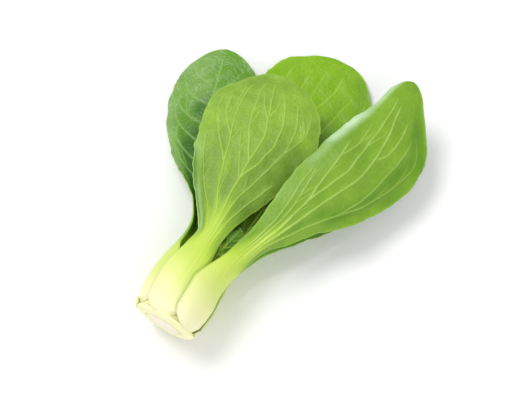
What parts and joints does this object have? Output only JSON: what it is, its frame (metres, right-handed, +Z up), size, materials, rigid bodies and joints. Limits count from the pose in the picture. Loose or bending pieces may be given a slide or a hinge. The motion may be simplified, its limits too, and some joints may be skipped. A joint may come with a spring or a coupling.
{
  "type": "bok choy head",
  "caption": "Green-stemmed bok choy head lying on its side, cut at the root, with pale cupped stalks fanning into broad veined green leaves.",
  "frame": {"origin": "on the surface that the head lies on, under the middle of its box", "axes": "+Y runs from the cut end to the leaf tips, +Z is up, +X is to the right seen from the cut end"},
  "size_m": [0.1808, 0.2268, 0.053],
  "materials": {
    "outer_leaf": "waxy leaf, half gloss, paling to cream at the stalk",
    "bright_leaf": "waxy leaf, half gloss",
    "inner_leaf": "waxy leaf, half gloss",
    "heart_leaf": "crinkled young leaf, half gloss",
    "cut_stem": "freshly cut, moist, matt",
    "trimmed_base": "waxy stalk skin"
  },
  "bodies": {
    "root": {"leaf_top": "outer_leaf", "leaf_right": "outer_leaf", "leaf_left": "outer_leaf", "leaf_under_left": "outer_leaf", "leaf_under_right": "outer_leaf", "leaf_back": "bright_leaf", "inner_leaf_left": "inner_leaf", "inner_leaf_right": "inner_leaf", "heart_leaf_upper": "heart_leaf", "heart_leaf_lower": "heart_leaf", "stump": "cut_stem", "stub_left": "trimmed_base", "stub_under": "trimmed_base"}
  },
  "joints": []
}
